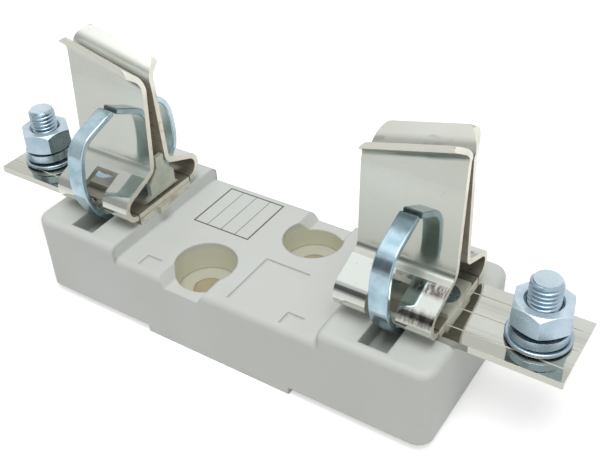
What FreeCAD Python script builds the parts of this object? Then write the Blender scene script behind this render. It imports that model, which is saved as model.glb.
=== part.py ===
import FreeCAD, Part
import math
import os

# Knife blade fuse base, size 2. Millimetres, +Z up, +X along the base, origin on the floor
# under the middle of the foot. The two ends are mirror images about the YZ plane.

doc = FreeCAD.newDocument("fuse_base")
sheet = doc.addObject("Spreadsheet::Sheet", "dims")

DIMS = [
    # base moulding
    ("base_length", 160.0), ("base_width", 60.0), ("foot_length", 60.0), ("end_lift", 3.0),
    ("middle_top", 28.5), ("end_top", 33.2), ("end_block_length", 38.5), ("corner_round", 5.5),
    ("edge_round", 2.5), ("mark_width", 0.7), ("mark_depth", 0.4), ("mark_edge", 7.5),
    ("small_mark_length", 6.3), ("small_mark_depth", 5.5), ("small_mark_inset", 15.6),
    ("end_mark_inset", 8.8), ("large_mark_x", 4.5), ("large_mark_y", 3.2),
    ("large_mark_length", 17.8), ("large_mark_depth", 23.5),
    ("end_inner", "=base_length / 2 - end_block_length"),
    # fixing holes of the base, on a diagonal
    ("mount_across", 12.5), ("mount_along", 15.0), ("mount_radius", 5.5),
    ("counterbore_radius", 11.0), ("counterbore_floor", 17.0),
    ("trough_floor", 24.4), ("trough_width", 14.0), ("trough_slope", 2.7),
    # well under each ring spring
    ("well_width", 10.0), ("well_half_length", 26.5), ("well_floor", 26.0),
    # terminal strip
    ("strip_thick", 2.5), ("strip_width", 28.4), ("strip_overhang", 32.75), ("tongue_length", 1.6),
    ("strip_end", "=base_length / 2 + strip_overhang"),
    ("tongue_width", 5.2), ("tongue_shift", 2.4),
    ("line_pitch", 8.7), ("line_width", 0.5), ("line_depth", 0.2),
    # terminal stud, washers and nut, M10
    ("stud_inset", 12.75), ("stud_radius", 4.95), ("stud_height", 22.3), ("stud_chamfer", 1.2),
    ("stud_at", "=strip_end - stud_inset"), ("stud_shank", 4.5), ("stud_free_gap", 0.3),
    ("stud_head_radius", 8.0), ("stud_head_thick", 3.0), ("collar_radius", 7.0), ("collar_height", 0.5),
    ("nut_flats", 17.0), ("nut_height", 8.0), ("nut_bore", 5.1), ("nut_sink", 0.8),
    ("washer_radius", 10.0), ("washer_thick", 1.5), ("washer_bore", 5.3),
    ("lock_radius", 9.0), ("lock_bore", 5.15), ("lock_thick", 3.0), ("lock_rise", 1.6),
    # lyre contact, bent from one width of sheet
    ("sheet_thick", 2.0), ("contact_inset", 0.3), ("contact_width", 33.0),
    ("contact_inner", "=end_inner + contact_inset"),
    ("contact_outer", "=contact_inner + contact_width"),
    ("roll_radius", 5.6), ("roll_at", 14.7), ("slope_angle", 22.0), ("neck_radius", 4.0),
    ("jaw_lean", 3.5), ("pinch_gap", 2.5), ("pinch_level", 81.0), ("lip_start_inner", 81.4),
    ("lip_start_outer", 89.3), ("lip_radius", 5.5), ("lip_angle", 55.0), ("lip_length", 3.6),
    ("lip_corner", 4.8), ("lip_skew", 2.0), ("flex_gap", 0.6), ("slot_inset", 16.3),
    ("slot_at", "=contact_inner + slot_inset"), ("slot_width", 10.4), ("slot_top", 10.0),
    # ring spring
    ("ring_inset", 17.3), ("ring_at", "=contact_inner + ring_inset"), ("ring_width", 6.5),
    ("ring_thick", 2.2), ("ring_radius", 21.9), ("ring_offset", 2.1), ("ring_level", 48.4),
    ("ring_side_radius", 36.0), ("ring_side_turn", 14.0), ("ring_shoulder_radius", 12.0),
    ("ring_shoulder_turn", 56.0),
    ("ring_gap", 0.25), ("ring_split", 0.15),
    # keeper plate inside the contact
    ("keeper_thick", 1.8), ("keeper_width", 17.0), ("keeper_bend", 1.5), ("keeper_shoulder", 45.7),
    ("keeper_body", 13.0), ("keeper_neck", 4.0), ("keeper_neck_level", 50.2), ("keeper_top", 54.5),
    # fixing screws, M6
    ("screw_flats", 10.0), ("screw_play", 0.65), ("screw_margin", 5.25),
    ("screw_inner", "=contact_inner + keeper_thick + keeper_bend + screw_play + screw_flats / 2"),
    ("screw_outer", "=contact_outer - screw_margin"), ("screw_radius", 2.95),
    ("screw_length", 30.0), ("screw_head", 4.0), ("screw_hole", 3.3), ("fixing_nut_height", 5.0),
    ("socket_flats", 4.0), ("socket_depth", 1.5),
    ("fixing_nut_bore", 3.05), ("nut_seat", 16.0), ("nut_pocket_play", 0.2),
]

for row, (alias, size) in enumerate(DIMS, start=1):
    sheet.set(f"A{row}", alias)
    sheet.set(f"B{row}", str(size))
    sheet.setAlias(f"B{row}", alias)
doc.recompute()


def dim(alias):
    return float(getattr(sheet, alias))


def bind(obj, **expressions):
    """Tie properties of an object to the sheet; place_x, place_y and place_z are its place."""
    for name, text in expressions.items():
        path = "Placement.Base." + name[-1] if name.startswith("place_") else name
        words = text.replace("$", "dims.")
        obj.setExpression(path, words)
    return obj


def box(name, length, width, height, x, y, z):
    return bind(doc.addObject("Part::Box", name), Length=length, Width=width, Height=height,
                place_x=x, place_y=y, place_z=z)


def cylinder(name, radius, height, x, y, z):
    return bind(doc.addObject("Part::Cylinder", name), Radius=radius, Height=height,
                place_x=x, place_y=y, place_z=z)


def hexagon(name, flats, height, x, y, z, turn=0.0):
    prism = doc.addObject("Part::Prism", name)
    prism.Polygon = 6
    prism.Placement.Rotation = FreeCAD.Rotation(FreeCAD.Vector(0, 0, 1), turn)
    return bind(prism, Circumradius=f"({flats}) / 2 / cos(30deg)", Height=height,
                place_x=x, place_y=y, place_z=z)


def cone(name, low_radius, high_radius, height, x, y, z):
    return bind(doc.addObject("Part::Cone", name), Radius1=low_radius, Radius2=high_radius,
                Height=height, place_x=x, place_y=y, place_z=z)


def fused(name, shapes):
    union = doc.addObject("Part::MultiFuse", name)
    union.Shapes = shapes
    union.Refine = True
    return union


def cut(name, solid, tools):
    result = doc.addObject("Part::Cut", name)
    result.Base = solid
    result.Tool = tools[0] if len(tools) == 1 else fused(name + "_tools", tools)
    result.Refine = True
    return result


def common(name, shapes):
    result = doc.addObject("Part::MultiCommon", name)
    result.Shapes = shapes
    return result


def rounded(name, solid, radius, wanted):
    """Fillet the edges of a solid whose middle point passes the test."""
    doc.recompute()
    chosen = [i for i, edge in enumerate(solid.Shape.Edges, start=1)
              if wanted(edge.valueAt((edge.FirstParameter + edge.LastParameter) / 2))]
    fillet = doc.addObject("Part::Fillet", name)
    fillet.Base = solid
    fillet.Edges = [(i, radius, radius) for i in chosen]
    doc.recompute()
    return fillet


def plain(name, shape):
    feature = doc.addObject("Part::Feature", name)
    feature.Shape = shape
    return feature


def near(a, b):
    return abs(a - b) < 0.01


# Bent sheet: a centre line of straights and arcs in a plane, given a thickness

def bent_face(start, heading, path, thick, to_space):
    """Face of a bent sheet. heading is in degrees, an arc turns left where its angle is positive,
    and to_space takes the two coordinates of the plane into space."""
    spot, angle = start, math.radians(heading)
    sides = {1: [], -1: []}
    ends = []

    def offset(point, direction, side):
        return (point[0] - side * math.sin(direction) * thick / 2,
                point[1] + side * math.cos(direction) * thick / 2)

    ends.append([offset(spot, angle, side) for side in (1, -1)])
    for kind, *sizes in path:
        if kind == "line":
            after = (spot[0] + sizes[0] * math.cos(angle), spot[1] + sizes[0] * math.sin(angle))
            for side in sides:
                sides[side].append(Part.LineSegment(to_space(*offset(spot, angle, side)),
                                                    to_space(*offset(after, angle, side))).toShape())
            spot = after
            continue
        radius, turn = sizes[0], math.radians(sizes[1])
        hand = 1 if turn > 0 else -1
        centre = (spot[0] - hand * radius * math.sin(angle), spot[1] + hand * radius * math.cos(angle))

        def on_arc(share, side):
            direction = angle + turn * share
            reach = radius - hand * side * thick / 2
            return to_space(centre[0] + hand * reach * math.sin(direction),
                            centre[1] - hand * reach * math.cos(direction))

        for side in sides:
            sides[side].append(Part.Arc(on_arc(0, side), on_arc(0.5, side), on_arc(1, side)).toShape())
        spot = (centre[0] + hand * radius * math.sin(angle + turn),
                centre[1] - hand * radius * math.cos(angle + turn))
        angle += turn
    ends.append([offset(spot, angle, side) for side in (1, -1)])
    caps = [Part.LineSegment(to_space(*pair[0]), to_space(*pair[1])).toShape() for pair in ends]
    edges = sides[1] + sides[-1] + caps
    return Part.Face(Part.Wire(Part.__sortEdges__(edges)))


def outline_face(points, rounds, to_space):
    """Face of a polygon whose corner i is rounded by rounds[i], where it has one."""
    edges, joints = [], []
    count = len(points)
    for i, (px, py) in enumerate(points):
        radius = rounds.get(i, 0.0)
        if not radius:
            joints.append(((px, py), (px, py)))
            continue
        arms = []
        for qx, qy in (points[i - 1], points[(i + 1) % count]):
            reach = math.hypot(qx - px, qy - py)
            arms.append(((qx - px) / reach, (qy - py) / reach))
        half = math.acos(arms[0][0] * arms[1][0] + arms[0][1] * arms[1][1]) / 2
        run = radius / math.tan(half)
        before = (px + arms[0][0] * run, py + arms[0][1] * run)
        after = (px + arms[1][0] * run, py + arms[1][1] * run)
        way = (arms[0][0] + arms[1][0], arms[0][1] + arms[1][1])
        length = math.hypot(*way)
        depth = radius / math.sin(half) - radius
        middle = (px + way[0] / length * depth, py + way[1] / length * depth)
        edges.append(Part.Arc(to_space(*before), to_space(*middle), to_space(*after)).toShape())
        joints.append((before, after))
    for i in range(count):
        leave, arrive = joints[i][1], joints[(i + 1) % count][0]
        if math.hypot(arrive[0] - leave[0], arrive[1] - leave[1]) > 1e-6:
            edges.append(Part.LineSegment(to_space(*leave), to_space(*arrive)).toShape())
    return Part.Face(Part.Wire(Part.__sortEdges__(edges)))


# Base moulding

def end_block(side):
    name = "end_block_" + side
    start = "$end_inner" if side == "right" else "-$base_length / 2"
    block = box(name, "$base_length / 2 - $end_inner", "$base_width", "$end_top - $end_lift",
                start, "-$base_width / 2", "$end_lift")
    length, width, top = dim("base_length"), dim("base_width"), dim("end_top")
    upright = rounded(name + "_corners", block, dim("corner_round"),
                      lambda p: near(abs(p.x), length / 2) and near(abs(p.y), width / 2))
    return rounded(name + "_edges", upright, dim("edge_round"),
                   lambda p: near(p.z, top) and not near(abs(p.x), dim("end_inner")))


def middle_block():
    overlap = "3 * $edge_round"
    block = box("middle_block", f"2 * ($end_inner + {overlap})", "$base_width",
                "$middle_top - $end_lift", f"-$end_inner - {overlap}", "-$base_width / 2",
                "$end_lift")
    width, top = dim("base_width"), dim("middle_top")
    return rounded("middle_block_edges", block, dim("edge_round"),
                   lambda p: near(p.z, top) and near(abs(p.y), width / 2))


def mount_cuts(side, across, along):
    """Through hole, counterbore and the trough that leads from it to the edge of the base."""
    x, y = f"{across} * $mount_across", f"{along} * $mount_along"
    hole = cylinder("mount_hole_" + side, "$mount_radius", "$middle_top", x, y, "0")
    counterbore = cylinder("counterbore_" + side, "$counterbore_radius",
                           "$end_top - $counterbore_floor", x, y, "$counterbore_floor")
    trough = doc.addObject("Part::Wedge", "trough_" + side)
    turn = FreeCAD.Rotation(FreeCAD.Vector(0, 0, 1), 90 + along * 90)
    trough.Placement.Rotation = turn * FreeCAD.Rotation(FreeCAD.Vector(1, 0, 0), 90)
    rise = "2 * ($middle_top - $trough_floor)"
    spread = "$trough_width / 2 + 2 * $trough_slope"
    bind(trough, Xmin="-$trough_width / 2", Xmax="$trough_width / 2", Ymin="0", Ymax=rise,
         Zmin="0", Zmax="$base_width / 2", X2min=f"-({spread})", X2max=spread,
         Z2min="0", Z2max="$base_width / 2", place_x=x, place_y=y, place_z="$trough_floor")
    return [hole, counterbore, trough]


def groove(name, length, width, x, y):
    return box(name, length, width, "2 * $mark_depth", x, y, "$middle_top - $mark_depth")


def corner_mark(name, x, y, along_x, along_y):
    """Thin moulded corner mark: one arm towards +X, one towards the front."""
    return [groove(name + "_x", along_x, "$mark_width", x, y),
            groove(name + "_y", "$mark_width", along_y, x, f"{y} - {along_y} + $mark_width")]


def fixing_cuts(side, sign):
    tools = [box("well_" + side, "$well_width", "2 * $well_half_length",
                 "$end_top - $well_floor + 1", f"{sign} * $ring_at - $well_width / 2",
                 "-$well_half_length", "$well_floor")]
    for place in ("inner", "outer"):
        x = f"{sign} * $screw_{place}"
        tools.append(cylinder(f"screw_way_{side}_{place}", "$screw_hole", "$end_top", x, "0", "1"))
        tools.append(hexagon(f"nut_pocket_{side}_{place}", "$screw_flats + 2 * $nut_pocket_play",
                             "$nut_seat", x, "0", "0"))
    return tools


def base_moulding():
    foot = box("foot", "$foot_length", "$base_width", "$middle_top / 2", "-$foot_length / 2",
               "-$base_width / 2", "0")
    blocks = fused("moulding_blocks", [middle_block(), end_block("left"), end_block("right"), foot])
    tools = mount_cuts("front", -1, -1) + mount_cuts("rear", 1, 1)
    tools += fixing_cuts("left", -1) + fixing_cuts("right", 1)
    front = "-$base_width / 2 + $mark_edge"
    small = ("$small_mark_length", "$small_mark_depth")
    tools += corner_mark("large_mark", "$large_mark_x", "-$large_mark_y", "$large_mark_length",
                         "$large_mark_depth")
    tools += corner_mark("small_mark", "$end_inner - $small_mark_inset", front, *small)
    tools += corner_mark("end_mark", "-$end_inner + $end_mark_inset", front, *small)
    return cut("base_moulding", blocks, tools)


# Terminal strip with its stud, washers and nut

def terminal_strip(side, sign):
    start = "$end_inner" if sign > 0 else "-$strip_end"
    bar = box(f"{side}_strip_bar", "$strip_end - $end_inner", "$strip_width", "$strip_thick",
              start, "-$strip_width / 2", "$end_top")
    tongue_start = "$end_inner - $tongue_length" if sign > 0 else "-$end_inner - 1"
    tongue = box(f"{side}_strip_tongue", "$tongue_length + 1", "$tongue_width", "$strip_thick",
                 tongue_start, f"{sign} * $tongue_shift - $tongue_width / 2", "$end_top")
    blank = fused(f"{side}_strip_blank", [bar, tongue])
    tools = [cylinder(f"{side}_stud_hole", "$stud_shank", "$strip_thick",
                      f"{sign} * $stud_at", "0", "$end_top")]
    for place in ("inner", "outer"):
        tools.append(cylinder(f"{side}_strip_hole_{place}", "$screw_hole", "$strip_thick",
                              f"{sign} * $screw_{place}", "0", "$end_top"))
    for line in (-1, 0, 1):
        tools.append(box(f"{side}_strip_line_{line + 1}", "$strip_end - $end_inner", "$line_width",
                         "2 * $line_depth", start, f"{line} * $line_pitch - $line_width / 2",
                         "$end_top + $strip_thick - $line_depth"))
    return cut(f"{side}_terminal_strip", blank, tools)


STRIP_TOP = "$end_top + $strip_thick"


def terminal_stud(side, sign):
    x = f"{sign} * $stud_at"
    head = cylinder(f"{side}_stud_head", "$stud_head_radius", "$stud_head_thick", x, "0",
                    "$end_top - $stud_head_thick")
    collar = cylinder(f"{side}_stud_collar", "$collar_radius", "$collar_height", x, "0", STRIP_TOP)
    stack = ("$collar_height + $washer_thick + $lock_thick + $lock_rise + $nut_height"
             " + $stud_free_gap")
    shank = cylinder(f"{side}_stud_shank", "$stud_shank", f"$strip_thick + {stack}",
                     x, "0", "$end_top")
    free = cylinder(f"{side}_stud_free_end", "$stud_radius",
                    f"$stud_height - $stud_chamfer - ({stack})", x, "0", f"{STRIP_TOP} + {stack}")
    tip = cone(f"{side}_stud_tip", "$stud_radius", "$stud_radius - $stud_chamfer * 0.7",
               "$stud_chamfer", x, "0", f"{STRIP_TOP} + $stud_height - $stud_chamfer")
    return fused(f"{side}_terminal_stud", [head, shank, collar, free, tip])


def flat_washer(side, sign):
    x = f"{sign} * $stud_at"
    level = f"{STRIP_TOP} + $collar_height"
    disc = cylinder(f"{side}_washer_disc", "$washer_radius", "$washer_thick", x, "0", level)
    hole = cylinder(f"{side}_washer_hole", "$washer_bore", "$washer_thick", x, "0", level)
    return cut(f"{side}_flat_washer", disc, [hole])


def spring_washer(side, sign):
    """Split lock washer: a flat section swept once round a short helix."""
    bottom = dim("end_top") + dim("strip_thick") + dim("collar_height") + dim("washer_thick")
    inner, outer, thick = dim("lock_bore"), dim("lock_radius"), dim("lock_thick")
    share = 345.0 / 360.0
    radius = (inner + outer) / 2
    helix = Part.makeHelix(dim("lock_rise") / share, dim("lock_rise"), radius)
    corners = [FreeCAD.Vector(x, 0, z) for x, z in
               ((inner, 0), (outer, 0), (outer, thick), (inner, thick), (inner, 0))]
    section = Part.Wire(Part.makePolygon(corners).Edges)
    solid = Part.Wire(helix.Edges).makePipeShell([section], True, True)
    solid.rotate(FreeCAD.Vector(0, 0, 0), FreeCAD.Vector(0, 0, 1), 200 if sign > 0 else 80)
    washer = plain(f"{side}_spring_washer", solid)
    washer.Placement = FreeCAD.Placement(FreeCAD.Vector(sign * dim("stud_at"), 0, bottom),
                                         FreeCAD.Rotation()) * washer.Placement
    return washer


def hexagon_nut(name, flats, height, bore, x, z, turn, both_sides=True):
    """Hexagon with both ends turned off at 30 degrees, and a bore."""
    body = hexagon(name + "_hexagon", flats, height, x, "0", z, turn)
    wide = f"({flats}) / 2 * 0.97 + ({height}) / tan(30deg)"
    narrow = f"({flats}) / 2 * 0.97"
    parts = [body, cone(name + "_upper_turning", wide, narrow, height, x, "0", z)]
    if both_sides:
        parts.append(cone(name + "_lower_turning", narrow, wide, height, x, "0", z))
    turned = common(name + "_turned", parts)
    if not bore:
        return turned
    sink = f"{bore} + $nut_sink"
    return cut(name, turned, [
        cylinder(name + "_bore", bore, height, x, "0", z),
        cone(name + "_lower_sink", sink, bore, "$nut_sink", x, "0", z),
        cone(name + "_upper_sink", bore, sink, "$nut_sink", x, "0", f"{z} + {height} - $nut_sink")])


def terminal_nut(side, sign):
    level = f"{STRIP_TOP} + $collar_height + $washer_thick + $lock_thick + $lock_rise"
    return hexagon_nut(f"{side}_terminal_nut", "$nut_flats", "$nut_height", "$nut_bore",
                       f"{sign} * $stud_at", level, -75.7 if sign > 0 else 22.0)


# Lyre contact: foot, front leaf and rear leaf

def contact_foot(side, sign):
    start = "$contact_inner" if sign > 0 else "-$contact_outer"
    plate = box(f"{side}_foot_plate", "$contact_width", "2 * ($roll_at - $flex_gap)",
                "$sheet_thick", start, "-$roll_at + $flex_gap", STRIP_TOP)
    tools = [cylinder(f"{side}_foot_hole_{place}", "$screw_hole", "$sheet_thick",
                      f"{sign} * $screw_{place}", "0", STRIP_TOP) for place in ("inner", "outer")]
    return cut(f"{side}_contact_foot", plate, tools)


def leaf_profile(x, lip_start, face):
    """Section of a leaf at x. face is -1 in front and 1 behind."""
    thick = dim("sheet_thick")
    radius = dim("roll_radius") - thick / 2
    floor = dim("end_top") + dim("strip_thick")
    lean = math.radians(dim("jaw_lean"))
    slope = math.radians(dim("slope_angle"))
    start = (dim("roll_at"), floor + thick / 2)
    top_of_roll = (start[0] + radius * math.sin(slope),
                   start[1] + radius + radius * math.cos(slope))
    jaw_at_pinch = (dim("pinch_gap") + thick) / 2
    # where the sloping part would meet the jaw, from the two straight centre lines
    level_gap = dim("pinch_level") - top_of_roll[1]
    reach = ((top_of_roll[0] - jaw_at_pinch - level_gap * math.tan(lean))
             / (math.cos(slope) - math.sin(slope) * math.tan(lean)))
    corner = (top_of_roll[0] - reach * math.cos(slope), top_of_roll[1] + reach * math.sin(slope))
    neck_turn = 90 - dim("slope_angle") - dim("jaw_lean")
    neck_run = dim("neck_radius") * math.tan(math.radians(neck_turn) / 2)
    jaw_run = (lip_start - corner[1]) / math.cos(lean) - neck_run
    path = [("arc", radius, 180 - dim("slope_angle")),
            ("line", reach - neck_run),
            ("arc", dim("neck_radius"), -neck_turn),
            ("line", jaw_run),
            ("arc", dim("lip_radius"), -(dim("lip_angle") + dim("jaw_lean"))),
            ("line", dim("lip_length"))]
    return bent_face(start, 0.0, path, thick, lambda u, z: FreeCAD.Vector(x, face * u, z))


def lip_tip_height():
    turn = math.radians(dim("lip_angle"))
    lean = math.radians(dim("jaw_lean"))
    rise = dim("lip_radius") * (math.sin(turn) + math.sin(lean)) + dim("lip_length") * math.cos(turn)
    return rise + dim("sheet_thick") / 2 * math.sin(turn)


def contact_leaf(side, sign, place, face):
    """The lip's bend rises from the inner to the outer end, which carries the lip outwards."""
    inner, outer = dim("contact_inner"), dim("contact_outer")
    starts = (dim("lip_start_inner"), dim("lip_start_outer"))
    skew = dim("lip_skew")
    rise = (starts[1] - starts[0]) / (outer - inner)
    wires = [leaf_profile(sign * x, start, face).OuterWire
             for x, start in ((inner, starts[0]), (outer + skew, starts[1] + skew * rise))]
    solid = Part.makeLoft(wires, True, True)
    tip = lip_tip_height()
    bottom = dim("end_top")
    corner = dim("lip_corner")
    corners = [(inner, bottom), (inner, starts[0]), (inner + skew, starts[0] + skew * rise + tip),
               (outer + skew, starts[1] + skew * rise + tip), (outer, starts[1]), (outer, bottom)]
    trim = outline_face([(sign * x, z) for x, z in corners], {2: corner, 3: corner},
                        lambda x, z: FreeCAD.Vector(x, -dim("base_width") / 2, z))
    solid = solid.common(trim.extrude(FreeCAD.Vector(0, dim("base_width"), 0)))
    reach = dim("roll_at") + dim("roll_radius") - dim("slot_top") + 1
    start = dim("slot_top") if face > 0 else -dim("slot_top") - reach
    slot = Part.makeBox(dim("slot_width"), reach, dim("keeper_top") - bottom,
                        FreeCAD.Vector(sign * dim("slot_at") - dim("slot_width") / 2, start, bottom))
    return plain(f"{side}_{place}_leaf", solid.cut(slot))


def keeper(side, sign):
    """Plate on the foot, turned up at the inner end into a shouldered tab that fills the neck."""
    thick = dim("keeper_thick")
    bend = dim("keeper_bend") + thick / 2
    level = dim("end_top") + dim("strip_thick") + dim("sheet_thick")
    middle = level + thick / 2
    outer = dim("contact_outer")
    run = dim("contact_width") - thick / 2 - bend
    rise = dim("keeper_top") - middle - bend
    section = bent_face((outer, middle), 180.0,
                        [("line", run), ("arc", bend, -90), ("line", rise)], thick,
                        lambda x, z: FreeCAD.Vector(sign * x, -dim("keeper_width") / 2, z))
    bent = section.extrude(FreeCAD.Vector(0, dim("keeper_width"), 0))
    half, body, neck = dim("keeper_width") / 2, dim("keeper_body") / 2, dim("keeper_neck") / 2
    right = [(half, level - 1), (half, level + thick), (body, level + 2 * thick),
             (body, dim("keeper_shoulder")), (neck, dim("keeper_neck_level")),
             (neck, dim("keeper_top") + 1)]
    outline = right + [(-y, z) for y, z in reversed(right)]
    mask = outline_face(outline, {}, lambda y, z: FreeCAD.Vector(-outer - 1, y, z))
    solid = bent.common(mask.extrude(FreeCAD.Vector(2 * outer + 2, 0, 0)))
    hole = dim("screw_hole")
    solid = solid.cut(Part.makeCylinder(hole, thick, FreeCAD.Vector(sign * dim("screw_inner"), 0, level)))
    solid = solid.cut(Part.makeCone(hole, hole + thick, thick,
                                    FreeCAD.Vector(sign * dim("screw_outer"), 0, level)))
    return plain(f"{side}_keeper", solid)


# Ring spring, cut at the bottom into the two halves that swing

def ring_half(side, sign, place, face):
    """One half of the open flat ring: straight under the strip, then round to the jaw."""
    half = dim("ring_thick") / 2
    radius, side, shoulder = (dim(name) - half for name in
                              ("ring_radius", "ring_side_radius", "ring_shoulder_radius"))
    turns = (90.0, dim("ring_side_turn"), dim("ring_shoulder_turn"))
    low, high = math.radians(turns[1]), math.radians(turns[1] + turns[2])
    bottom = dim("ring_level") - radius
    # end of the shoulder, from which the ring runs straight to the jaw
    reach = (dim("ring_offset") + radius - side * (1 - math.cos(low))
             - shoulder * (math.cos(low) - math.cos(high)))
    level = dim("ring_level") + side * math.sin(low) + shoulder * (math.sin(high) - math.sin(low))
    lean = math.tan(math.radians(dim("jaw_lean")))
    jaw_face = (dim("pinch_gap") / 2 + (dim("pinch_level") - level) * lean
                + dim("sheet_thick") / math.cos(math.atan(lean)))
    fall = 1 / math.tan(high)
    run = (reach - jaw_face - dim("ring_gap") - half * (fall + lean)) / (1 - fall * lean) / math.sin(high)
    section = bent_face((dim("ring_split"), bottom), 0.0,
                        [("line", dim("ring_offset") - dim("ring_split")), ("arc", radius, turns[0]),
                         ("arc", side, turns[1]), ("arc", shoulder, turns[2]), ("line", run)],
                        dim("ring_thick"),
                        lambda u, z: FreeCAD.Vector(sign * dim("ring_at") - dim("ring_width") / 2,
                                                    face * u, z))
    return plain(f"{side}_{place}_ring_half", section.extrude(FreeCAD.Vector(dim("ring_width"), 0, 0)))


# Fixing screws and the nuts under the base

def fixing_screw(side, sign, place):
    x = f"{sign} * $screw_{place}"
    seat = f"{STRIP_TOP} + $sheet_thick + $keeper_thick"
    shank = cylinder(f"{side}_{place}_screw_shank", "$screw_radius", "$screw_length", x, "0",
                     f"{seat} - $screw_length")
    if place == "inner":
        head = hexagon_nut(f"{side}_screw_head", "$screw_flats", "$screw_head", None, x, seat, 30.0,
                           both_sides=False)
        return fused(f"{side}_inner_fixing_screw", [head, shank])
    # the outer one is countersunk into the keeper
    head = cone(f"{side}_sunk_head", "$screw_hole", "$screw_hole + $keeper_thick", "$keeper_thick",
                x, "0", f"{seat} - $keeper_thick")
    socket = hexagon(f"{side}_socket", "$socket_flats", "$socket_depth", x, "0",
                     f"{seat} - $socket_depth")
    return cut(f"{side}_outer_fixing_screw", fused(f"{side}_sunk_screw", [head, shank]), [socket])


def fixing_nut(side, sign, place):
    return hexagon_nut(f"{side}_{place}_fixing_nut", "$screw_flats", "$fixing_nut_height",
                       "$fixing_nut_bore", f"{sign} * $screw_{place}",
                       "$nut_seat - $fixing_nut_height", 0.0)


subparts = {"base_moulding": base_moulding()}
for side, sign in (("left", -1), ("right", 1)):
    subparts[f"{side}_terminal_strip"] = terminal_strip(side, sign)
    subparts[f"{side}_terminal_stud"] = terminal_stud(side, sign)
    subparts[f"{side}_flat_washer"] = flat_washer(side, sign)
    subparts[f"{side}_spring_washer"] = spring_washer(side, sign)
    subparts[f"{side}_terminal_nut"] = terminal_nut(side, sign)
    subparts[f"{side}_contact_foot"] = contact_foot(side, sign)
    subparts[f"{side}_keeper"] = keeper(side, sign)
    for place, face in (("front", -1), ("rear", 1)):
        subparts[f"{side}_{place}_leaf"] = contact_leaf(side, sign, place, face)
        subparts[f"{side}_{place}_ring_half"] = ring_half(side, sign, place, face)
    for place in ("inner", "outer"):
        subparts[f"{side}_{place}_fixing_screw"] = fixing_screw(side, sign, place)
        subparts[f"{side}_{place}_fixing_nut"] = fixing_nut(side, sign, place)

for node, feature in subparts.items():
    feature.Label = node
doc.recompute()

faults = [obj.Name for obj in doc.Objects if "Invalid" in obj.State or "Error" in obj.State]
for node, feature in subparts.items():
    if feature.Shape.isNull() or not feature.Shape.isValid() or not feature.Shape.Solids:
        faults.append(node)
if faults:
    raise RuntimeError("these did not build: " + ", ".join(faults))

os.makedirs("parts", exist_ok=True)
for node, feature in subparts.items():
    feature.Shape.exportStep(os.path.join("parts", node + ".step"))
    print(f"{node}: {len(feature.Shape.Solids)} solid, {feature.Shape.Volume:.1f} mm3")
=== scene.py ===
import math

import bmesh
import bpy
from mathutils import Matrix, Vector


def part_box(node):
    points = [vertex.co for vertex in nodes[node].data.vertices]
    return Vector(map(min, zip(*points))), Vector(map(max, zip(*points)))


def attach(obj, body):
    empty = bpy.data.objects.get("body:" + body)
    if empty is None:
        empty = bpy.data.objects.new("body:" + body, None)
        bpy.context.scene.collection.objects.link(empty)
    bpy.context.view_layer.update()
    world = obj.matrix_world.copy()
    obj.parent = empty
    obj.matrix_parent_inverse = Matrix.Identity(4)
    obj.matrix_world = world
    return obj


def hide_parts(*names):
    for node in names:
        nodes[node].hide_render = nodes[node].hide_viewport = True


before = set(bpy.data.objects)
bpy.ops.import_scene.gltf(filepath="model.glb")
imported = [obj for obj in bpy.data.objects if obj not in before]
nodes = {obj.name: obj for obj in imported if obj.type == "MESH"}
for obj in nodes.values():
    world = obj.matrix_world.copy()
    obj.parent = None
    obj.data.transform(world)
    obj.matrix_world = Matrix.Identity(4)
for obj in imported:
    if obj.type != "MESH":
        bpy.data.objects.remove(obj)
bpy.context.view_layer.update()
ends = (("left", -1), ("right", 1))
print("frame loaded,", len(nodes), "nodes")


# shader helpers: an expression on wires adds its own Math nodes

class Wire:
    def __init__(self, shader, socket):
        self.shader = shader
        self.socket = socket

    def maths(self, operation, *values):
        return self.shader.node("ShaderNodeMath", {"operation": operation}, values)

    def __add__(self, other):
        return self.maths("ADD", self, other)

    def __sub__(self, other):
        return self.maths("SUBTRACT", self, other)

    def __rsub__(self, other):
        return self.maths("SUBTRACT", other, self)

    def __mul__(self, other):
        return self.maths("MULTIPLY", self, other)

    def __gt__(self, other):
        return self.maths("GREATER_THAN", self, other)

    def __lt__(self, other):
        return self.maths("LESS_THAN", self, other)

    def __abs__(self):
        return self.maths("ABSOLUTE", self)

    __radd__ = __add__
    __rmul__ = __mul__


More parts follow.
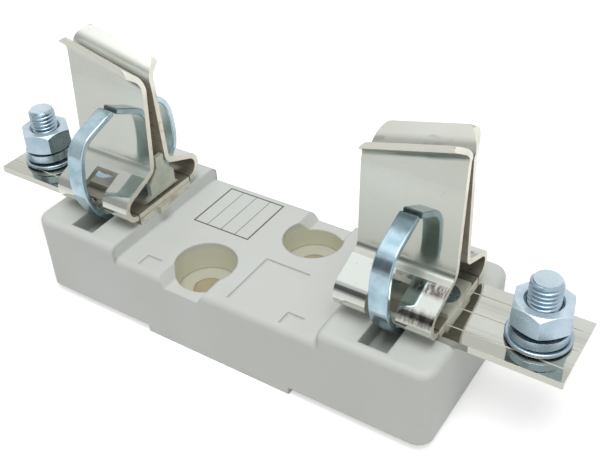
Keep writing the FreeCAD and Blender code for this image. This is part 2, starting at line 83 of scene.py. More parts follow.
class Shader:
    def __init__(self, name, world=None):
        self.owner = world or bpy.data.materials.new(name)
        self.owner.use_nodes = True
        self.tree = self.owner.node_tree
        self.tree.nodes.clear()

    def node(self, kind, settings=None, inputs=(), output=0):
        # settings go first, because some of them change the sockets
        made = self.tree.nodes.new(kind)
        for key, value in (settings or {}).items():
            setattr(made, key, value)
        pairs = inputs.items() if isinstance(inputs, dict) else enumerate(inputs)
        for key, value in pairs:
            if isinstance(value, Wire):
                self.tree.links.new(value.socket, made.inputs[key])
            else:
                made.inputs[key].default_value = value
        return Wire(self, made.outputs[output]) if made.outputs else None

    def place(self):
        return self.node("ShaderNodeTexCoord", output="Object")

    def axes(self, place):
        parts = self.node("ShaderNodeSeparateXYZ", inputs=[place]).socket.node.outputs
        return [Wire(self, part) for part in parts]

    def noise(self, place, scale, detail=3.0, rough=0.5, stretch=(1, 1, 1)):
        stretched = self.node("ShaderNodeVectorMath", {"operation": "MULTIPLY"}, [place, stretch])
        return self.node("ShaderNodeTexNoise", inputs={
            "Vector": stretched, "Scale": scale, "Detail": detail, "Roughness": rough})

    def mix(self, factor, first, second):
        made = self.node("ShaderNodeMix", {"data_type": "RGBA"}, output=2)
        sockets = made.socket.node.inputs
        # factor, first and second colour of a colour mix
        for index, value in ((0, factor), (6, first), (7, second)):
            if isinstance(value, Wire):
                self.tree.links.new(value.socket, sockets[index])
            else:
                sockets[index].default_value = (*value, 1.0) if isinstance(value, tuple) else value
        return made

    def span(self, value, low, high, fromLow=0.0, fromHigh=1.0):
        return self.node("ShaderNodeMapRange", inputs={
            "Value": value, "From Min": fromLow, "From Max": fromHigh,
            "To Min": low, "To Max": high})

    def bump(self, height, strength, distance, normal=None):
        inputs = {"Height": height, "Strength": strength, "Distance": distance}
        if normal:
            inputs["Normal"] = normal
        return self.node("ShaderNodeBump", inputs=inputs)

    def finish(self, **sockets):
        inputs = {name.replace("_", " "): (*value, 1.0) if isinstance(value, tuple) else value
                  for name, value in sockets.items()}
        surface = self.node("ShaderNodeBsdfPrincipled", inputs=inputs)
        self.node("ShaderNodeOutputMaterial", inputs=[surface])
        return self.owner


# finish of the base

moulding = {
    "colour": (0.615, 0.640, 0.612), "shade": (0.585, 0.605, 0.570),
    # scale and detail of the clouds and of the grain
    "clouds": (26, 4), "cloudEdges": (0.35, 0.65), "roughness": (0.46, 0.60), "specular": 0.45,
    "grain": (900, 2), "grainStrength": 0.10, "grainDepth": 0.0002,
    # radii by which the finish rounds the rims, and x range and foot of the blocks' steep inner sides
    "rim": 0.0009, "riserRim": 0.0032, "rimSamples": 6, "riser": (0.0395, 0.0465), "riserFoot": 0.026,
}
# screw holes, with light and shade painted in them
screwHoleLightAndShade = {
    "centres": ((-0.0125, -0.015), (0.0125, 0.015)), "radius": 0.0113,
    "wall": (0.740, 0.735, 0.600), "wallShare": 0.95, "wallTop": (0.0255, 0.0285),
    "floor": (0.520, 0.515, 0.420), "floorTop": 0.0176,
    "bore": (0.900, 0.830, 0.650), "boreTop": 0.0165,
}
# ring wells, darkened with depth: painted shade
ringWellShade = {
    "x": 0.0591, "half": (0.0053, 0.0268),
    "tone": (0.470, 0.485, 0.450), "share": 0.9, "top": (0.0290, 0.0332),
}
label = {
    "low": (-0.0318, 0.0026), "high": (-0.0073, 0.0265), "level": 0.0282, "rows": 4,
    "ink": (0.030, 0.032, 0.040), "inkShare": 0.88, "frameLine": 0.00062, "rowLine": 0.00026,
}


def labelInk(x, y, z):
    # printed frame and row lines of the label place
    (x0, y0), (x1, y1) = label["low"], label["high"]
    halfX, halfY = (x1 - x0) / 2, (y1 - y0) / 2
    offX = abs(x - (x0 + x1) / 2)
    offY = abs(y - (y0 + y1) / 2)
    inBox = (offX < halfX) * (offY < halfY)
    inner = (offX < halfX - label["frameLine"]) * (offY < halfY - label["frameLine"])
    ink = inBox - inner
    for row in range(1, label["rows"]):
        line = x0 + (x1 - x0) * row / label["rows"]
        ink = ink + (abs(x - line) < label["rowLine"] / 2) * inner
    return ink * (z > label["level"]) * label["inkShare"]


def mouldingFinish():
    s = Shader("mouldedResin")
    place = s.place()
    x, y, z = s.axes(place)
    cloud = s.noise(place, *moulding["clouds"])
    cloudy = s.span(cloud, 0, 1, *moulding["cloudEdges"])
    colour = s.mix(cloudy, moulding["colour"], moulding["shade"])
    # painted light and shade down in the screw holes: paler olive walls, a darker floor and a pale tan
    # bore
    for holeX, holeY in screwHoleLightAndShade["centres"]:
        across = x - holeX
        along = y - holeY
        inside = (across * across + along * along) < screwHoleLightAndShade["radius"] ** 2
        depth = s.span(z, screwHoleLightAndShade["wallShare"], 0, *screwHoleLightAndShade["wallTop"])
        colour = s.mix(inside * depth, colour, screwHoleLightAndShade["wall"])
        colour = s.mix(inside * (z < screwHoleLightAndShade["floorTop"]), colour, screwHoleLightAndShade["floor"])
        colour = s.mix(inside * (z < screwHoleLightAndShade["boreTop"]), colour, screwHoleLightAndShade["bore"])
    # painted shade, deepening down in the ring wells
    halfX, halfY = ringWellShade["half"]
    inShadedWell = (abs(abs(x) - ringWellShade["x"]) < halfX) * (abs(y) < halfY)
    depth = s.span(z, ringWellShade["share"], 0, *ringWellShade["top"])
    colour = s.mix(inShadedWell * depth, colour, ringWellShade["tone"])
    colour = s.mix(labelInk(x, y, z), colour, label["ink"])
    rims, softRims = (s.node("ShaderNodeBevel", {"samples": moulding["rimSamples"]},
                             {"Radius": moulding[key]}) for key in ("rim", "riserRim"))
    fromRiser, toRiser = moulding["riser"]
    onRiser = (abs(x) > fromRiser) * (abs(x) < toRiser) * (z > moulding["riserFoot"])
    grain = s.noise(place, *moulding["grain"])
    normal = s.bump(grain, moulding["grainStrength"], moulding["grainDepth"],
                    s.mix(onRiser, rims, softRims))
    return s.finish(Base_Color=colour, Roughness=s.span(cloud, *moulding["roughness"]),
                    Normal=normal, Specular_IOR_Level=moulding["specular"])


# finishes of the metal: each has a bright and a second tone in soft clouds, and stained spots

plating = {
    # detail and roughness of the noise for clouds, lines along the sheet, and fine marks
    "clouds": (5, 0.6), "lines": (3, 0.6), "marks": (2, 0.5),
    "cloudEdges": (0.36, 0.64), "stretch": {"x": (0.03, 1, 1), "round": (1, 0.12, 0.12)},
    # scratches across the rolling lines, and specks
    "scratchScale": 0.35, "scratchStretch": (0.25, 1, 0.05), "scratchEdges": (0.66, 0.72),
    "speckScale": 700, "speckShare": 0.35, "speckEdges": (0.70, 0.78),
    # share of the lines in roughness and bump, beside the clouds
    "linesInRough": 0.5, "roughEdges": (0.35, 0.65),
    "linesInBump": 0.25, "bumpStrength": 0.06, "bumpDepth": 0.0003,
}
sheet = {
    "bright": (0.475, 0.505, 0.482), "second": (0.450, 0.468, 0.425), "stain": (0.105, 0.085, 0.075),
    "metal": 0.95, "roughness": (0.035, 0.075), "lineScale": 900, "cloudScale": 30, "scratch": 0.14,
    # painted shade: darker reflections towards the foot of the jaw, most on the right contact
    "paintedShade": {"tone": (0.340, 0.355, 0.315), "share": 0.9, "heights": (0.052, 0.076), "above": 0.0500,
             "leftShare": 0.15, "leftToRight": (-0.01, 0.01)},
    # painted reflection: paler under the rolls, where they mirror the pale floor
    "under": {"tone": (0.760, 0.755, 0.690), "share": 0.8, "heights": (0.0395, 0.0430)},
    # a bend's rougher zone: heights where it starts and ends, added roughness, furthest y
    "bends": ((0.0770, 0.0815, 0.26, 0.030), (0.0570, 0.0510, 0.30, 0.0085)), "bendsAbove": 0.0465,
    # bends where the plating has gone brown, on the right contact
    "brown": {"bands": ({"y": (0.0170, 0.0212), "z": (0.0415, 0.0462), "strength": 0.85},
                        {"y": (0.0088, 0.0128), "z": (0.0475, 0.0512), "strength": 1.0}),
              "fadeY": (0.3, 0.75), "fadeZ": (0.25, 0.6), "fadeX": (0.055, 0.066),
              "patches": (420, 4, 0.7), "stretch": (1.6, 0.4, 0.4), "edges": (0.34, 0.52)},
}
# inside of the lips: a paler, less metallic copy of the plating, painted light where the inner bend
# mirrors dark surroundings; partly the lips' more satin surface
lipSheetPaintedLight = dict(sheet, bright=(0.620, 0.645, 0.610), second=(0.590, 0.600, 0.550), metal=0.75,
                scratch=0.25)
# inner faces of the jaws, rolls and foot: a rougher, paler and warmer copy of the plating, painted light
# in the narrow slot between the leaves
slotSheetPaintedLight = {
    "bright": (0.600, 0.560, 0.470), "second": (0.440, 0.390, 0.300), "stain": (0.180, 0.120, 0.080),
    "metal": 0.45, "roughness": (0.24, 0.36), "lineScale": 300, "cloudScale": 90, "scratch": 0.30,
    # painted shade, darker down inside the lyre
    "paintedShade": dict(sheet["paintedShade"], tone=(0.250, 0.240, 0.195), heights=(0.042, 0.052), above=0.0,
                 leftShare=0.85),
}
strip = {
    "bright": (0.660, 0.685, 0.640), "second": (0.590, 0.605, 0.550), "stain": (0.380, 0.360, 0.300),
    "metal": 0.95, "roughness": (0.030, 0.080), "lineScale": 1000, "cloudScale": 26, "scratch": 0.14,
    # broad darker bands along the bar, and a painted reflection: a darker band along its front
    "bandsAndFrontReflection": {"tone": (0.470, 0.480, 0.430), "scale": 210, "stretch": (0.01, 1, 1), "share": 0.7,
               "edges": (0.46, 0.58), "frontReflectionShare": 0.8, "front": (-0.0125, -0.0080)},
}
stripLine = {
    "bright": (0.700, 0.680, 0.600), "second": (0.560, 0.520, 0.440), "stain": (0.330, 0.290, 0.220),
    "metal": 0.20, "roughness": (0.40, 0.55), "lineScale": 500, "cloudScale": 80, "scratch": 0.30,
}
zinc = {
    "bright": (0.440, 0.545, 0.620), "second": (0.330, 0.430, 0.510), "stain": (0.270, 0.320, 0.345),
    "metal": 0.90, "roughness": (0.20, 0.34), "lineScale": 520, "cloudScale": 100, "scratch": 0.10,
}
# washer undersides, nearly black: painted shade in the gap under the washer
zincPaintedShade = dict(zinc, bright=(0.070, 0.068, 0.062), second=(0.045, 0.045, 0.042), metal=0.60)
# tops of the studs and nuts: a paler, less metallic copy of the zinc, painted light
zincTopPaintedLight = dict(zinc, bright=(0.620, 0.730, 0.800), second=(0.480, 0.590, 0.660), metal=0.45)
springZinc = dict(zinc, bright=(0.510, 0.635, 0.710), second=(0.275, 0.400, 0.465), cloudScale=85,
                  roughness=(0.10, 0.22), scratch=0.20)
# faces of the ring towards the middle: a paler copy of the spring zinc, painted light on the inner side
# that lies in shadow
springInnerPaintedLight = dict(springZinc, bright=(0.880, 0.990, 0.990), second=(0.700, 0.880, 0.880),
                   metal=1.0, roughness=(0.36, 0.46))
# keeper plates down in the lyre: a paler, beige, less metallic copy of the zinc, painted light
keeperZincPaintedLight = dict(zinc, bright=(0.560, 0.580, 0.480), second=(0.430, 0.460, 0.390), metal=0.30,
                  roughness=(0.34, 0.48))


def brownBends(s, place, colour, tone):
    x, y, z = s.axes(place)
    brown = tone["brown"]
    for band in brown["bands"]:
        (lowY, highY), (lowZ, highZ) = band["y"], band["z"]
        tall, deep = highZ - lowZ, highY - lowY
        near = s.span(abs(abs(y) - (lowY + highY) / 2), 1, 0, *(deep * fade for fade in brown["fadeY"]))
        near = near * s.span(abs(z - (lowZ + highZ) / 2), 1, 0, *(tall * fade for fade in brown["fadeZ"]))
        patches = s.noise(place, *brown["patches"], brown["stretch"])
        patchy = s.span(patches, 0, band["strength"], *brown["edges"])
        colour = s.mix(near * patchy * s.span(x, 0, 1, *brown["fadeX"]), colour, tone["stain"])
    return colour


def platedFinish(name, tone, along="x"):
    # plating in soft clouds, with fine lines along the sheet or round the ring
    s = Shader(name)
    place = s.place()
    x, y, z = s.axes(place)
    cloud = s.noise(place, tone["cloudScale"], *plating["clouds"])
    lines = s.noise(place, tone["lineScale"], *plating["lines"], plating["stretch"][along])
    colour = s.mix(s.span(cloud, 0, 1, *plating["cloudEdges"]), tone["bright"], tone["second"])
    # painted shade, darker towards the foot
    if "paintedShade" in tone:
        paintedShade = tone["paintedShade"]
        share = s.span(z, paintedShade["share"], 0, *paintedShade["heights"]) * (z > paintedShade["above"])
        share = share * s.span(x, paintedShade["leftShare"], 1, *paintedShade["leftToRight"])
        colour = s.mix(share, colour, paintedShade["tone"])
    # painted reflection of the pale floor under the rolls
    if "under" in tone:
        under = tone["under"]
        colour = s.mix(s.span(z, under["share"], 0, *under["heights"]), colour, under["tone"])
    # darker bands along the bar, and a painted darker reflection along its front
    if "bandsAndFrontReflection" in tone:
        bandsAndFrontReflection = tone["bandsAndFrontReflection"]
        bands = s.noise(place, bandsAndFrontReflection["scale"], *plating["marks"], bandsAndFrontReflection["stretch"])
        share = (s.span(bands, 0, bandsAndFrontReflection["share"], *bandsAndFrontReflection["edges"])
                 + s.span(y, bandsAndFrontReflection["frontReflectionShare"], 0, *bandsAndFrontReflection["front"]))
        colour = s.mix(share, colour, bandsAndFrontReflection["tone"])
    scratches = s.noise(place, tone["lineScale"] * plating["scratchScale"], *plating["marks"],
                        plating["scratchStretch"])
    specks = s.noise(place, plating["speckScale"], *plating["marks"])
    worn = (s.span(scratches, 0, tone["scratch"], *plating["scratchEdges"])
            + s.span(specks, 0, plating["speckShare"], *plating["speckEdges"]))
    colour = s.mix(worn, colour, tone["stain"])
    if "brown" in tone:
        colour = brownBends(s, place, colour, tone)
    share = plating["linesInRough"]
    rough = s.span(lines * share + cloud * (1 - share), *tone["roughness"], *plating["roughEdges"])
    for start, end, more, reach in tone.get("bends", ()):
        rough = rough + s.span(z, 0, more, start, end) * (z > tone["bendsAbove"]) * (abs(y) < reach)
    share = plating["linesInBump"]
    height = lines * share + cloud * (1 - share)
    normal = s.bump(height, plating["bumpStrength"], plating["bumpDepth"])
    return s.finish(Base_Color=colour, Metallic=tone["metal"], Roughness=rough, Normal=normal)


cutEdge = {
    "plated": (0.660, 0.630, 0.550), "copper": (0.390, 0.300, 0.200), "metal": 0.7,
    # scale, detail and roughness of the noise for streaks and spots
    "streaks": (260, 4, 0.65), "streakShare": 0.5, "streakEdges": (0.56, 0.68),
    "spots": (90, 3, 0.5), "spotShare": 0.6, "spotEdges": (0.64, 0.72), "roughness": (0.30, 0.46),
    # paler towards the lip's tip: partly the bright plating, partly a painted highlight
    "lip": (0.860, 0.860, 0.780), "lipShare": 0.75, "lipFrom": (0.0780, 0.0815),
    "bumpStrength": 0.25, "bumpDepth": 0.0002,
}


def cutEdgeFinish():
    # sheared edge of plated copper: pale, with brown streaks and spots
    s = Shader("shearedEdge")
    place = s.place()
    streak = s.noise(place, *cutEdge["streaks"])
    spots = s.noise(place, *cutEdge["spots"])
    brown = (s.span(streak, 0, cutEdge["streakShare"], *cutEdge["streakEdges"])
             + s.span(spots, 0, cutEdge["spotShare"], *cutEdge["spotEdges"]))
    colour = s.mix(brown, cutEdge["plated"], cutEdge["copper"])
    height = s.axes(place)[2]
    # paler towards the lip's tip, partly a painted highlight
    colour = s.mix(s.span(height, 0, cutEdge["lipShare"], *cutEdge["lipFrom"]), colour, cutEdge["lip"])
    return s.finish(Base_Color=colour, Metallic=cutEdge["metal"],
                    Roughness=s.span(streak, *cutEdge["roughness"]),
                    Normal=s.bump(streak, cutEdge["bumpStrength"], cutEdge["bumpDepth"]))


finishes = {
    "moulding": mouldingFinish(),
    "sheet": platedFinish("platedSheet", sheet),
    "lipSheetPaintedLight": platedFinish("lipSheetPaintedLight", lipSheetPaintedLight),
    "slotSheetPaintedLight": platedFinish("paintedLightSlotSheet", slotSheetPaintedLight),
    "edge": cutEdgeFinish(),
    "strip": platedFinish("platedStrip", strip),
    "stripLine": platedFinish("pressedLine", stripLine),
    "zinc": platedFinish("blueZinc", zinc),
    "zincTopPaintedLight": platedFinish("blueZincTopPaintedLight", zincTopPaintedLight),
    "zincPaintedShade": platedFinish("washerUndersidePaintedShade", zincPaintedShade),
    "springZinc": platedFinish("blueZincSpring", springZinc, "round"),
    "springInnerPaintedLight": platedFinish("springZincInnerPaintedLight", springInnerPaintedLight, "round"),
    "keeperZincPaintedLight": platedFinish("zincKeeperPaintedLight", keeperZincPaintedLight),
}
print("finishes made:", len(finishes))


# pieces: copies of the CAD solids with their sharp edges eased, so that they catch the light

easing = {
    # distance of welded points; degrees that count as flat, as a sharp edge and as one to ease
    "weld": 2e-6, "flat": 0.4, "sharp": 28, "eased": 32, "segments": 2,
}


def wear(name, finish):
    mesh = nodes[name].data
    mesh.materials.clear()
    mesh.materials.append(finishes[finish])


def addPiece(name, mesh, body, replaced, materials):
    piece = bpy.data.objects.new(name, mesh)
    bpy.context.scene.collection.objects.link(piece)
    for finish in materials:
        mesh.materials.append(finishes[finish])
    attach(piece, body)
    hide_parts(replaced)
    return piece


def keepSharp(mesh, degrees):
    work = bmesh.new()
    work.from_mesh(mesh)
    for face in work.faces:
        face.smooth = True
    for edge in work.edges:
        edge.smooth = not (edge.is_manifold and edge.calc_face_angle(0) > math.radians(degrees))
    work.to_mesh(mesh)
    work.free()


def weldedCopy(node, name):
    mesh = nodes[node].data.copy()
    mesh.name = name
    mesh.materials.clear()
    work = bmesh.new()
    work.from_mesh(mesh)
    bmesh.ops.remove_doubles(work, verts=work.verts, dist=easing["weld"])
    bmesh.ops.dissolve_limit(work, angle_limit=math.radians(easing["flat"]),
                             verts=work.verts, edges=work.edges)
    work.to_mesh(mesh)
    work.free()
    return mesh


def softened(node, name, body, materials, width, pickFace=None, settle=None):
    mesh = weldedCopy(node, name)
    if settle:
        for vertex in mesh.vertices:
            vertex.co = settle(vertex.co)
    if pickFace:
        for face in mesh.polygons:
            face.material_index = pickFace(face.center, face.normal)
    keepSharp(mesh, easing["sharp"])
    piece = addPiece(name, mesh, body, node, materials)
    bevel = piece.modifiers.new("easedEdges", "BEVEL")
    bevel.width = width
    bevel.segments = easing["segments"]
    bevel.limit_method = "ANGLE"
    bevel.angle_limit = math.radians(easing["eased"])
    bevel.harden_normals = True


# contact sheet: two leaves and the foot under them
# a face picker takes a face's centre and normal, and gives the number of its finish

contactSheet = {
    "leafEase": 0.00032, "footEase": 0.0003,
    # how far a normal leans before its face counts as cut side, slot end, tip (outward, up) or foot
    "cutLean": 0.35, "slotLean": 0.9, "tipLean": (0.5, 0.4), "footLean": 0.5,
    # y and z of a roll's centre, height where the jaw begins, and where lip and its tip begin
    "roll": (0.0105, 0.0413), "jawFrom": 0.050, "lipFrom": 0.077, "tipFrom": 0.078,
    # end of the ring's slot: its y, highest point and tolerance
    "slotEnd": 0.010, "slotTop": 0.053, "near": 0.0003,
}


def inward(centre, normal):
    # does this face of the bent sheet look into the contact?
    outward = math.copysign(1, centre.y)
    if centre.z > contactSheet["jawFrom"]:
        return normal.y * outward < 0
    rollY, rollZ = contactSheet["roll"]
    return (centre.y * outward - rollY) * normal.y * outward + (centre.z - rollZ) * normal.z < 0


def leafFace(centre, normal):
    # 0 plated outside, 1 cut edge, 2 inside of the jaw and roll, 3 inside of the lip; 2 and 3 wear paler
    # copies of the plating with painted light
    outward = math.copysign(1, centre.y)
    outLean, upLean = contactSheet["tipLean"]
    tip = (centre.z > contactSheet["tipFrom"] and normal.y * outward > outLean
           and normal.z > upLean)
    slotEnd = (abs(normal.y) > contactSheet["slotLean"] and centre.z < contactSheet["slotTop"]
               and abs(abs(centre.y) - contactSheet["slotEnd"]) < contactSheet["near"])
    if abs(normal.x) > contactSheet["cutLean"] or tip or slotEnd:
        return 1
    if inward(centre, normal):
        return 2 if centre.z < contactSheet["lipFrom"] else 3
    return 0


def footFace(centre, normal):
    # 0 plated underside, 1 cut edge, 2 upper side, in the copy of the plating with painted light
    lean = contactSheet["footLean"]
    return 1 if abs(normal.x) > lean else 2 if normal.z > lean else 0


# ring spring

ringSpring = {
    "ease": 0.00055, "middle": 0.048, "sideLean": 0.5,
    # how each ring has settled: shift in x, x per unit of y, and extra height of its upper ends
    "left": {"shift": 0.0005, "slant": 0.060, "rise": 0.0022},
    "right": {"shift": 0.0, "slant": 0.0, "rise": 0.0},
    "riseFrom": 0.034, "riseTo": 0.062,
}


# faces towards the middle of the contact take the paler spring zinc with painted light
def ringFace(centre, normal):
    towardMiddle = centre.y * normal.y + (centre.z - ringSpring["middle"]) * normal.z < 0
    return int(towardMiddle and abs(normal.x) < ringSpring["sideLean"])


def settledRing(side):
    own = ringSpring[side]
    low, high = ringSpring["riseFrom"], ringSpring["riseTo"]

    def settle(point):
        share = (point.z - low) / (high - low)
        raised = own["rise"] * min(max(share, 0), 1)
        return point + Vector((own["shift"] + own["slant"] * point.y, 0, raised))
    return settle


# terminal strip, with pressed lines just under its upper face

stripBar = {
    "ease": 0.0004, "innerEnd": 0.05, "endLean": 0.9,
    "lineReach": 0.0135, "lineHeights": (0.0354, 0.03565), "lineLean": 0.5,
}


def stripFace(centre, normal):
    # 0 plated, 1 cut inner end, 2 pressed line
    if abs(normal.x) > stripBar["endLean"] and abs(centre.x) < stripBar["innerEnd"]:
        return 1
    low, high = stripBar["lineHeights"]
    inLine = (abs(centre.y) < stripBar["lineReach"] and low < centre.z < high
              and abs(normal.x) < stripBar["lineLean"])
    return 2 if inLine else 0


keeperPlate = {"ease": 0.0003}
fixingScrew = {"ease": 0.00025}


def contactPieces(side):
    for place in ("front", "rear"):
        leaf = f"{side}_{place}_leaf"
        softened(leaf, f"{leaf}_sheet", leaf,
                 ["sheet", "edge", "slotSheetPaintedLight", "lipSheetPaintedLight"], contactSheet["leafEase"], leafFace)
        half = f"{side}_{place}_ring_half"
        softened(half, f"{half}_band", half, ["springZinc", "springInnerPaintedLight"],
                 ringSpring["ease"], ringFace, settledRing(side))
    softened(f"{side}_contact_foot", f"{side}_foot_sheet", "base",
             ["sheet", "edge", "slotSheetPaintedLight"], contactSheet["footEase"], footFace)
    softened(f"{side}_keeper", f"{side}_keeper_plate", "base", ["keeperZincPaintedLight"],
             keeperPlate["ease"])
    softened(f"{side}_terminal_strip", f"{side}_strip_bar", "base",
             ["strip", "edge", "stripLine"], stripBar["ease"], stripFace)
    for place in ("inner", "outer"):
        softened(f"{side}_{place}_fixing_screw", f"{side}_{place}_screw_body", "base",
                 ["zinc"], fixingScrew["ease"])
        wear(f"{side}_{place}_fixing_nut", "zinc")


# terminal stud with its thread turns

stud = {
    "x": 0.1, "pitch": 0.0015, "major": 0.00495, "minor": 0.00412, "around": 72, "perTurn": 10,
    # shares of half a pitch for crest and flank, and how much the root is rounded
    "crest": 0.14, "flank": 0.66, "rounded": 0.35,
    "tipRadius": 0.0040, "tipChamfer": 0.0012, "threadFrom": 0.038, "core": 0.0041,
    "shank": 0.0045, "headTop": 0.0332, "stripTop": 0.0357, "collar": (0.0070, 0.0005),
    # radius under the head, radius of the head, height of the chamfer between them
    "head": (0.0074, 0.0080, 0.0006), "sharp": 40, "topDepth": 0.0002, "topLean": 0.9,
    # distances below which points are one, and below which an edge has no length
    "weld": 1e-6, "speck": 1e-7,
}


def threadRadius(share):
    # share of a pitch: flat crest, 60 degree flanks, rounded root
    distance = abs((share + 0.5) % 1.0 - 0.5) * 2
    ramp = min(1.0, max(0.0, (distance - stud["crest"]) / stud["flank"]))
    smooth = ramp * ramp * (3 - 2 * ramp)
    rounded = stud["rounded"]
    return stud["major"] - (stud["major"] - stud["minor"]) * (rounded * smooth + (1 - rounded) * ramp)


def threadRow(work, row, centreX, top):
    # one row of points that climbs by a pitch in its turn, cut off at the thread's foot and top
    points = []
    threadFrom, perTurn = stud["threadFrom"], stud["perTurn"]
    for step in range(stud["around"]):
        turn = step / stud["around"]
        height = threadFrom + stud["pitch"] * (row / perTurn + turn - 1)
        radius = threadRadius(row / perTurn)
        if height < threadFrom:
            radius = min(radius, stud["minor"])
        level = min(max(height, threadFrom), top)
        chamfer = (top - level) * (stud["major"] - stud["tipRadius"]) / stud["tipChamfer"]
        radius = min(radius, stud["tipRadius"] + chamfer)
        angle = turn * math.tau
        points.append(work.verts.new((centreX + radius * math.cos(angle),
                                      radius * math.sin(angle), level)))
    return points


def threadTurns(work, centreX, top):
    around, perTurn = stud["around"], stud["perTurn"]
    rows = int((top - stud["threadFrom"]) / stud["pitch"] * perTurn) + perTurn + 2
    grid = [threadRow(work, row, centreX, top) for row in range(rows)]
    for lower, upper in zip(grid, grid[1:]):
        for step in range(around - 1):
            work.faces.new((lower[step], lower[step + 1], upper[step + 1], upper[step]))
    # the seam joins each row to the row one turn further up
    for row in range(len(grid) - perTurn - 1):
        a, b = grid[row][around - 1], grid[row + 1][around - 1]
        c, d = grid[row + perTurn + 1][0], grid[row + perTurn][0]
        work.faces.new((a, d, c, b))
    bmesh.ops.remove_doubles(work, verts=work.verts, dist=stud["weld"])
    bmesh.ops.dissolve_degenerate(work, edges=work.edges, dist=stud["speck"])
    rims = [edge for edge in work.edges if edge.is_boundary
            and all(abs(vert.co.z - top) < stud["weld"] for vert in edge.verts)]
    bmesh.ops.contextual_create(work, geom=rims)


def lathe(work, profile, centreX, around):
    rings = []
    for radius, level in profile:
        if radius == 0:
            rings.append([work.verts.new((centreX, 0, level))])
            continue
        rings.append([work.verts.new((centreX + radius * math.cos(step / around * math.tau),
                                      radius * math.sin(step / around * math.tau), level))
                      for step in range(around)])
    for lower, upper in zip(rings, rings[1:]):
        for step in range(around):
            following = (step + 1) % around
            if len(lower) == 1:
                work.faces.new((lower[0], upper[following], upper[step]))
            else:
                work.faces.new((lower[step], lower[following], upper[following], upper[step]))


def studPiece(side, sign):
    low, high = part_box(f"{side}_terminal_stud")
    centreX, bottom, top = sign * stud["x"], low.z, high.z
    work = bmesh.new()
    threadTurns(work, centreX, top)
    shank, headTop, stripTop, threadFrom = (
        stud[key] for key in ("shank", "headTop", "stripTop", "threadFrom"))
    collarRadius, collarHeight = stud["collar"]
    underHead, head, headChamfer = stud["head"]
    profile = [(0, bottom), (underHead, bottom), (head, bottom + headChamfer), (head, headTop),
               (shank, headTop), (shank, stripTop), (collarRadius, stripTop),
               (collarRadius, stripTop + collarHeight), (shank, stripTop + collarHeight),
               (shank, threadFrom), (stud["core"], threadFrom)]
    lathe(work, profile, centreX, stud["around"])
    for face in work.faces:
        face.normal_update()
        # the stud's top face takes the zinc with painted light
        onTop = face.calc_center_median().z > top - stud["topDepth"]
        face.material_index = int(face.normal.z > stud["topLean"] and onTop)
    mesh = bpy.data.meshes.new(f"{side}_stud_thread")
    work.to_mesh(mesh)
    work.free()
    keepSharp(mesh, stud["sharp"])
    addPiece(f"{side}_stud_thread", mesh, "base", f"{side}_terminal_stud",
             ["zinc", "zincTopPaintedLight"])


# washers and nut of a terminal

flatWasher = {"ease": 0.0005, "underLean": 0.5}
splitWasher = {"ease": 0.0003}
terminalNut = {"ease": 0.0003, "topLean": 0.8}


# upward faces of the nut take the zinc with painted light
def paintedLightFace(centre, normal):
    return int(normal.z > terminalNut["topLean"])


# downward faces of the washer take the painted shade
def paintedShadeFace(centre, normal):
    return int(normal.z < -flatWasher["underLean"])


def terminalPieces(side, sign):
    studPiece(side, sign)
    washers = f"{side}_washers"
    softened(f"{side}_flat_washer", f"{side}_washer_disc", washers,
             ["zinc", "zincPaintedShade"], flatWasher["ease"], paintedShadeFace)
    softened(f"{side}_spring_washer", f"{side}_split_washer", washers,
             ["zinc"], splitWasher["ease"])
    softened(f"{side}_terminal_nut", f"{side}_nut_body", f"{side}_terminal_nut",
             ["zinc", "zincTopPaintedLight"], terminalNut["ease"], paintedLightFace)


wear("base_moulding", "moulding")
for side, sign in ends:
    contactPieces(side)
    terminalPieces(side, sign)
    print(side, "end dressed")


# studio: pale floor, soft lamp, white surroundings

studio = {
    "floorSize": 6.0, "floorColour": (0.80, 0.80, 0.79), "floorGlow": 0.50, "skyLight": 0.44,
    "lamp": {"place": (0.15, -0.20, 1.00), "aim": (0, 0, 0.03), "size": 0.70, "watts": 6.0},
}
tent = {
    # what the bright metal mirrors: white cloth walls, a bright top, one side in shade and a gap
    "radius": 2.5, "subdivisions": 4, "wall": 1.0,
    "top": 1.65, "topFrom": (0.79, 0.90), "topTo": (0.965, 0.985), "zenith": 0.75,
    "shade": 0.60, "shadeToward": 226, "shadeSpread": (0.60, 0.90), "shadeHeight": (0.55, 0.82),
    "gap": 0.20, "gapToward": (256, 27), "gapSpread": (0.925, 0.975),
}


def whiteRays(s):
    # camera, mirror and clear rays see the white studio
    path = s.node("ShaderNodeLightPath").socket.node.outputs
    rays = [Wire(s, path[name]) for name in ("Is Camera Ray", "Is Glossy Ray", "Is Transmission Ray")]
    return rays[0].maths("MINIMUM", rays[0] + rays[1] + rays[2], 1.0)


def addStage(name, mesh, material, unseenBy=()):
    thing = bpy.data.objects.new(name, mesh)
    bpy.context.scene.collection.objects.link(thing)
    for ray in unseenBy:
        setattr(thing, "visible_" + ray, False)
    mesh.materials.append(material)


def buildFloor():
    half = studio["floorSize"] / 2
    mesh = bpy.data.meshes.new("floor")
    mesh.from_pydata([(-half, -half, 0), (half, -half, 0), (half, half, 0), (-half, half, 0)],
                     [], [(0, 1, 2, 3)])
    s = Shader("paleFloor")
    paint = s.node("ShaderNodeBsdfDiffuse", inputs={"Color": (*studio["floorColour"], 1)})
    glow = s.node("ShaderNodeEmission", inputs={
        "Color": (1, 1, 1, 1), "Strength": whiteRays(s) * studio["floorGlow"]})
    both = s.node("ShaderNodeAddShader", inputs=[paint, glow])
    s.node("ShaderNodeOutputMaterial", inputs=[both])
    addStage("floor", mesh, s.owner)


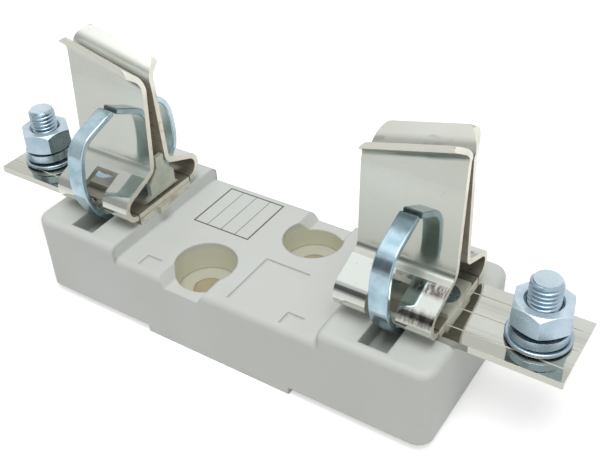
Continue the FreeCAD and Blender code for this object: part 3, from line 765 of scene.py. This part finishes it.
def tentCloth():
    s = Shader("tentCloth")
    toward = s.node("ShaderNodeVectorMath", {"operation": "NORMALIZE"}, [s.place()])
    x, y, z = s.axes(toward)

    def ease(value, fromLow, fromHigh, low, high):
        return s.node("ShaderNodeMapRange", {"interpolation_type": "SMOOTHSTEP"}, {
            "Value": value, "From Min": fromLow, "From Max": fromHigh, "To Min": low, "To Max": high})

    turn = math.radians(tent["shadeToward"])
    side = x * math.cos(turn) + y * math.sin(turn)
    shaded = ease(side, *tent["shadeSpread"], 0, 1) * ease(z, *tent["shadeHeight"], 1, 0)
    bright = ease(z, *tent["topFrom"], 0, 1)
    light = shaded * (tent["shade"] - tent["wall"]) + tent["wall"] + bright * (tent["top"] - tent["wall"])
    light = light + ease(z, *tent["topTo"], 0, tent["zenith"] - tent["top"])
    turn, rise = (math.radians(angle) for angle in tent["gapToward"])
    facing = (x * (math.cos(turn) * math.cos(rise)) + y * (math.sin(turn) * math.cos(rise))
              + z * math.sin(rise))
    light = light * ease(facing, *tent["gapSpread"], 1, tent["gap"])
    shade = s.node("ShaderNodeCombineColor", inputs=[light, light, light])
    glow = s.node("ShaderNodeEmission", inputs={"Color": shade, "Strength": 1.0})
    s.node("ShaderNodeOutputMaterial", inputs=[glow])
    return s.owner


def buildTent():
    mesh = bpy.data.meshes.new("tent")
    work = bmesh.new()
    bmesh.ops.create_icosphere(work, subdivisions=tent["subdivisions"], radius=tent["radius"])
    work.to_mesh(mesh)
    work.free()
    # only mirror rays see it
    addStage("tent", mesh, tentCloth(),
             ("camera", "diffuse", "transmission", "volume_scatter", "shadow"))


def buildLamp():
    own = studio["lamp"]
    lamp = bpy.data.lights.new("overhead", "AREA")
    lamp.shape = "DISK"
    lamp.size = own["size"]
    lamp.energy = own["watts"]
    holder = bpy.data.objects.new("overhead", lamp)
    bpy.context.scene.collection.objects.link(holder)
    holder.location = own["place"]
    aim = Vector(own["aim"]) - Vector(own["place"])
    holder.rotation_euler = aim.to_track_quat("-Z", "Y").to_euler()


def buildStudio():
    world = bpy.data.worlds.new("studio")
    bpy.context.scene.world = world
    s = Shader("studio", world)
    level = whiteRays(s) * (1.0 - studio["skyLight"]) + studio["skyLight"]
    sky = s.node("ShaderNodeBackground", inputs={"Color": (1, 1, 1, 1), "Strength": level})
    s.node("ShaderNodeOutputWorld", inputs=[sky])
    buildFloor()
    buildTent()
    buildLamp()


camera = {
    # solved from the photograph: place, viewing and upward directions, focal length in pixels
    "place": (0.15065, -0.19684, 0.22226), "view": (-0.4619, 0.6529, -0.6004),
    "up": (-0.3004, 0.5217, 0.7985), "focal": 898.1, "centre": (285.9, 231.1),
    "width": 600, "height": 471, "sensor": 36.0, "sees": (0.01, 20.0),
}


def buildCamera():
    width, (centreX, centreY) = camera["width"], camera["centre"]
    lens = bpy.data.cameras.new("camera")
    lens.sensor_width = camera["sensor"]
    lens.lens = camera["focal"] * camera["sensor"] / width
    lens.shift_x = (width / 2 - centreX) / width
    lens.shift_y = (centreY - camera["height"] / 2) / width
    lens.clip_start, lens.clip_end = camera["sees"]
    holder = bpy.data.objects.new("camera", lens)
    bpy.context.scene.collection.objects.link(holder)
    back = -Vector(camera["view"]).normalized()
    right = Vector(camera["up"]).cross(back).normalized()
    up = back.cross(right)
    turn = Matrix((right, up, back)).transposed().to_4x4()
    holder.matrix_world = Matrix.Translation(camera["place"]) @ turn
    bpy.context.scene.camera = holder


buildStudio()
buildCamera()
bpy.context.scene.view_settings.view_transform = "Standard"
print("studio and camera set")
